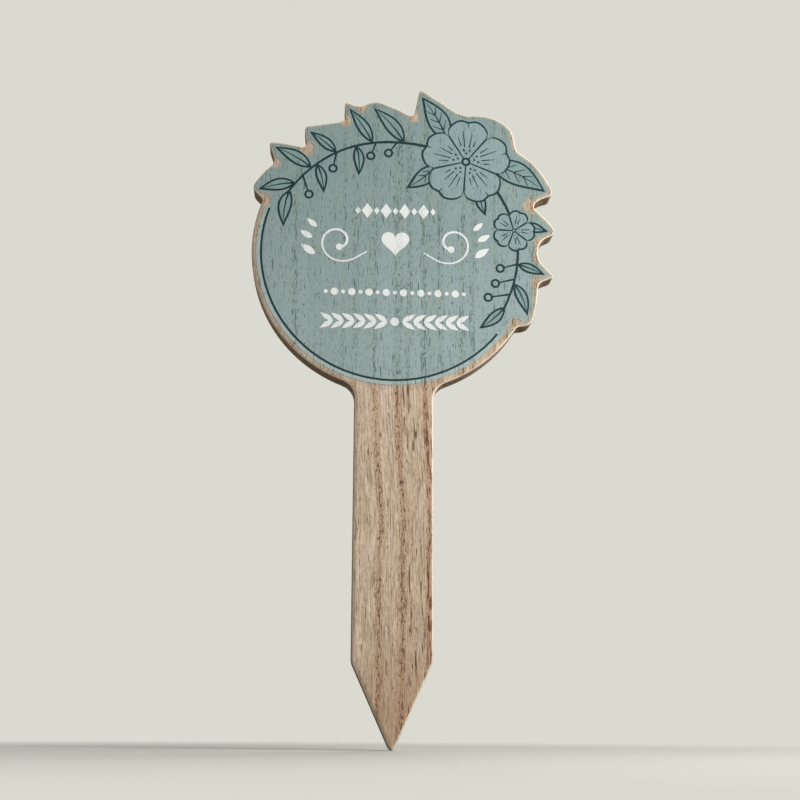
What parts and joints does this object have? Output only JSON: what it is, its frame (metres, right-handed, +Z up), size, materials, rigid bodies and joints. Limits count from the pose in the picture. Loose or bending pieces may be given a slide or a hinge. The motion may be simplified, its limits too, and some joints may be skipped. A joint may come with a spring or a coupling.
{
  "type": "decorative garden stake",
  "caption": "Flat wooden plant stake: round printed head with a leaf and petal contour, straight stem and pointed end.",
  "frame": {"origin": "end of the point, on the middle of the board's thickness", "axes": "+Z up the stem to the head, -Y out of the printed front face, +X to the right as seen from the front"},
  "size_m": [0.1382, 0.0113, 0.3],
  "materials": {
    "bare_wood": "bare, fine-sanded, open-pored",
    "coat_ink": "matt, the wood's pores show through",
    "leaf_ink": "matt",
    "petal_ink": "matt",
    "line_ink": "matt",
    "white_ink": "matt"
  },
  "bodies": {
    "root": {"board": "bare_wood", "colour_field": "coat_ink", "leaf_tint": "leaf_ink", "petal_tint": "petal_ink", "rim_line": "line_ink", "left_spray_line": "line_ink", "blossom_line": "line_ink", "right_spray_line": "line_ink", "white_diamonds": "white_ink", "white_scroll": "white_ink", "white_beads": "white_ink", "white_laurel": "white_ink"}
  },
  "joints": []
}
